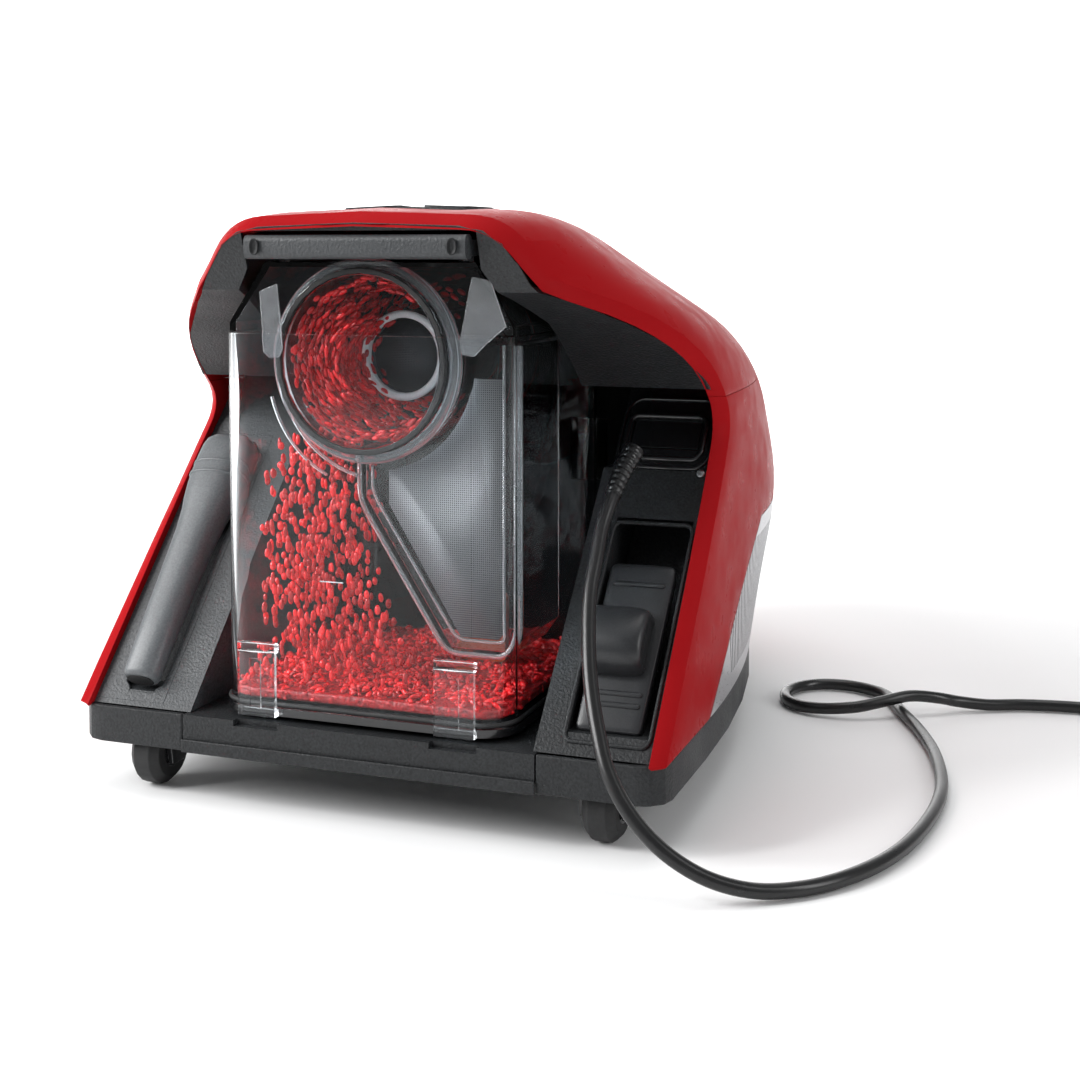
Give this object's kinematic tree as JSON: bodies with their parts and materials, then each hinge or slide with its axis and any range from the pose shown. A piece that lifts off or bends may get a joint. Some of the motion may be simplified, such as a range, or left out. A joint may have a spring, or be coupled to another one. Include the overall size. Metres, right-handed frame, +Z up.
{
  "type": "bagless canister vacuum cleaner",
  "caption": "Bagless canister vacuum with a clear cyclone dust bin, tool bays, swivel casters, carry handle and pull-out mains cord.",
  "frame": {"origin": "on the floor under the middle of the body, cord and plug left out", "axes": "+Z up, +Y towards the hose socket, -Y towards the dust bin, +X to the right seen from the dust bin"},
  "size_m": [0.5833, 0.5288, 0.3082],
  "materials": {
    "red_gloss": "high gloss",
    "dark_textured": "fine textured",
    "grey_textured": "fine textured",
    "black_gloss": "gloss",
    "silver": "satin metallic",
    "white_plastic": "satin",
    "orange": "satin",
    "rubber": "matt",
    "cord_black": "semi gloss",
    "clear": "clear polycarbonate",
    "steel": "brushed",
    "mesh": "woven screen",
    "granule": "satin"
  },
  "bodies": {
    "body": {"base_pan": "dark_textured", "rear_lip": "dark_textured", "bin_floor": "dark_textured", "side_shell_left": "red_gloss", "side_shell_right": "red_gloss", "hood": "red_gloss", "hood_liner": "dark_textured", "hood_bezel": "dark_textured", "rear_panel_left": "dark_textured", "rear_panel_right": "dark_textured", "cord_outlet": "black_gloss", "cord_guide": "black_gloss", "bulkhead": "dark_textured", "vent_panel_left": "silver", "vent_panel_right": "silver", "top_panel": "black_gloss", "handle_tub": "black_gloss", "hose_port": "black_gloss", "motor_housing": "black_gloss", "exhaust_filter": "white_plastic", "cord": "cord_black", "plug": "cord_black", "caster_cup_rear_left": "dark_textured", "caster_cup_rear_right": "dark_textured", "caster_cup_front_left": "dark_textured", "caster_cup_front_right": "dark_textured"},
    "dust_bin": {"bin_body": "clear", "bin_tray": "black_gloss", "bin_lid": "clear", "cyclone_drum": "clear", "drum_cover": "clear", "drum_seal": "rubber", "vortex_tube": "grey_textured", "vortex_ring": "white_plastic", "vortex_mesh": "mesh", "fine_dust_chamber": "clear", "chamber_screen": "mesh", "unlock_button": "orange", "granule_heap": "granule"},
    "box_handle": {"box_handle": "grey_textured"},
    "clip_left": {"bin_clip_left": "clear"},
    "clip_right": {"bin_clip_right": "clear"},
    "carry_handle": {"carry_handle": "grey_textured"},
    "power_button": {"power_button": "grey_textured"},
    "rewind_button": {"rewind_button": "grey_textured"},
    "suction_dial": {"suction_dial": "grey_textured"},
    "hose_port_ring": {"hose_port_ring": "grey_textured"},
    "fan": {"fan_rotor": "steel"},
    "reel": {"cord_reel": "grey_textured", "reel_winding": "rubber"},
    "crevice_tool": {"crevice_tool": "grey_textured"},
    "upholstery_nozzle": {"upholstery_nozzle": "dark_textured"},
    "caster_rear_left": {"caster_fork_rear_left": "black_gloss"},
    "wheel_rear_left": {"caster_wheel_rear_left": "rubber"},
    "caster_rear_right": {"caster_fork_rear_right": "black_gloss"},
    "wheel_rear_right": {"caster_wheel_rear_right": "rubber"},
    "caster_front_left": {"caster_fork_front_left": "black_gloss"},
    "wheel_front_left": {"caster_wheel_front_left": "rubber"},
    "caster_front_right": {"caster_fork_front_right": "black_gloss"},
    "wheel_front_right": {"caster_wheel_front_right": "rubber"}
  },
  "joints": [
    {"name": "bin_slide", "type": "slide", "parent": "body", "child": "dust_bin", "axis": [0, -1, 0], "range_m": [0, 0.26]},
    {"name": "box_handle_tilt", "type": "hinge", "parent": "dust_bin", "child": "box_handle", "pos_m": [0, -0.226, 0.284], "axis": [1, 0, 0], "range_deg": [0, 60]},
    {"name": "clip_left_hinge", "type": "hinge", "parent": "dust_bin", "child": "clip_left", "pos_m": [-0.054, -0.2389, 0.083], "axis": [-1, 0, 0], "range_deg": [0, 35]},
    {"name": "clip_right_hinge", "type": "hinge", "parent": "dust_bin", "child": "clip_right", "pos_m": [0.054, -0.2389, 0.083], "axis": [-1, 0, 0], "range_deg": [0, 35]},
    {"name": "carry_handle_hinge", "type": "hinge", "parent": "body", "child": "carry_handle", "pos_m": [0, 0.081, 0.25665], "axis": [-1, 0, 0], "range_deg": [0, 80]},
    {"name": "power_press", "type": "slide", "parent": "body", "child": "power_button", "axis": [0, 0, -1], "range_m": [0, 0.003], "stiffness_N_per_m": 600},
    {"name": "rewind_press", "type": "slide", "parent": "body", "child": "rewind_button", "axis": [0, 0, -1], "range_m": [0, 0.003], "stiffness_N_per_m": 600},
    {"name": "dial_turn", "type": "hinge", "parent": "body", "child": "suction_dial", "pos_m": [0, -0.07933, 0.3], "axis": [0, 0, 1], "range_deg": [-135, 135]},
    {"name": "hose_ring_turn", "type": "hinge", "parent": "body", "child": "hose_port_ring", "pos_m": [0, 0.176, 0.21202], "axis": [0, 0.7431, 0.6691], "range_deg": [0, 30]},
    {"name": "fan_spin", "type": "hinge", "parent": "body", "child": "fan", "pos_m": [-0.052, 0.062, 0.128], "axis": [0, 1, 0], "continuous": true},
    {"name": "reel_spin", "type": "hinge", "parent": "body", "child": "reel", "pos_m": [0.074, 0.028, 0.128], "axis": [1, 0, 0], "continuous": true},
    {"name": "crevice_tool_pull", "type": "slide", "parent": "body", "child": "crevice_tool", "axis": [0, -0.7341, 0.6791], "range_m": [0, 0.05]},
    {"name": "nozzle_pull", "type": "slide", "parent": "body", "child": "upholstery_nozzle", "axis": [0, -0.7341, 0.6791], "range_m": [0, 0.015]},
    {"name": "swivel_rear_left", "type": "hinge", "parent": "body", "child": "caster_rear_left", "pos_m": [-0.125, -0.209, 0.04], "axis": [0, 0, 1], "continuous": true},
    {"name": "roll_rear_left", "type": "hinge", "parent": "caster_rear_left", "child": "wheel_rear_left", "pos_m": [-0.125, -0.22, 0.018], "axis": [1, 0, 0], "continuous": true},
    {"name": "swivel_rear_right", "type": "hinge", "parent": "body", "child": "caster_rear_right", "pos_m": [0.125, -0.209, 0.04], "axis": [0, 0, 1], "continuous": true},
    {"name": "roll_rear_right", "type": "hinge", "parent": "caster_rear_right", "child": "wheel_rear_right", "pos_m": [0.125, -0.22, 0.018], "axis": [1, 0, 0], "continuous": true},
    {"name": "swivel_front_left", "type": "hinge", "parent": "body", "child": "caster_front_left", "pos_m": [-0.058, 0.133, 0.04], "axis": [0, 0, 1], "continuous": true},
    {"name": "roll_front_left", "type": "hinge", "parent": "caster_front_left", "child": "wheel_front_left", "pos_m": [-0.058, 0.122, 0.018], "axis": [1, 0, 0], "continuous": true},
    {"name": "swivel_front_right", "type": "hinge", "parent": "body", "child": "caster_front_right", "pos_m": [0.058, 0.133, 0.04], "axis": [0, 0, 1], "continuous": true},
    {"name": "roll_front_right", "type": "hinge", "parent": "caster_front_right", "child": "wheel_front_right", "pos_m": [0.058, 0.122, 0.018], "axis": [1, 0, 0], "continuous": true}
  ]
}
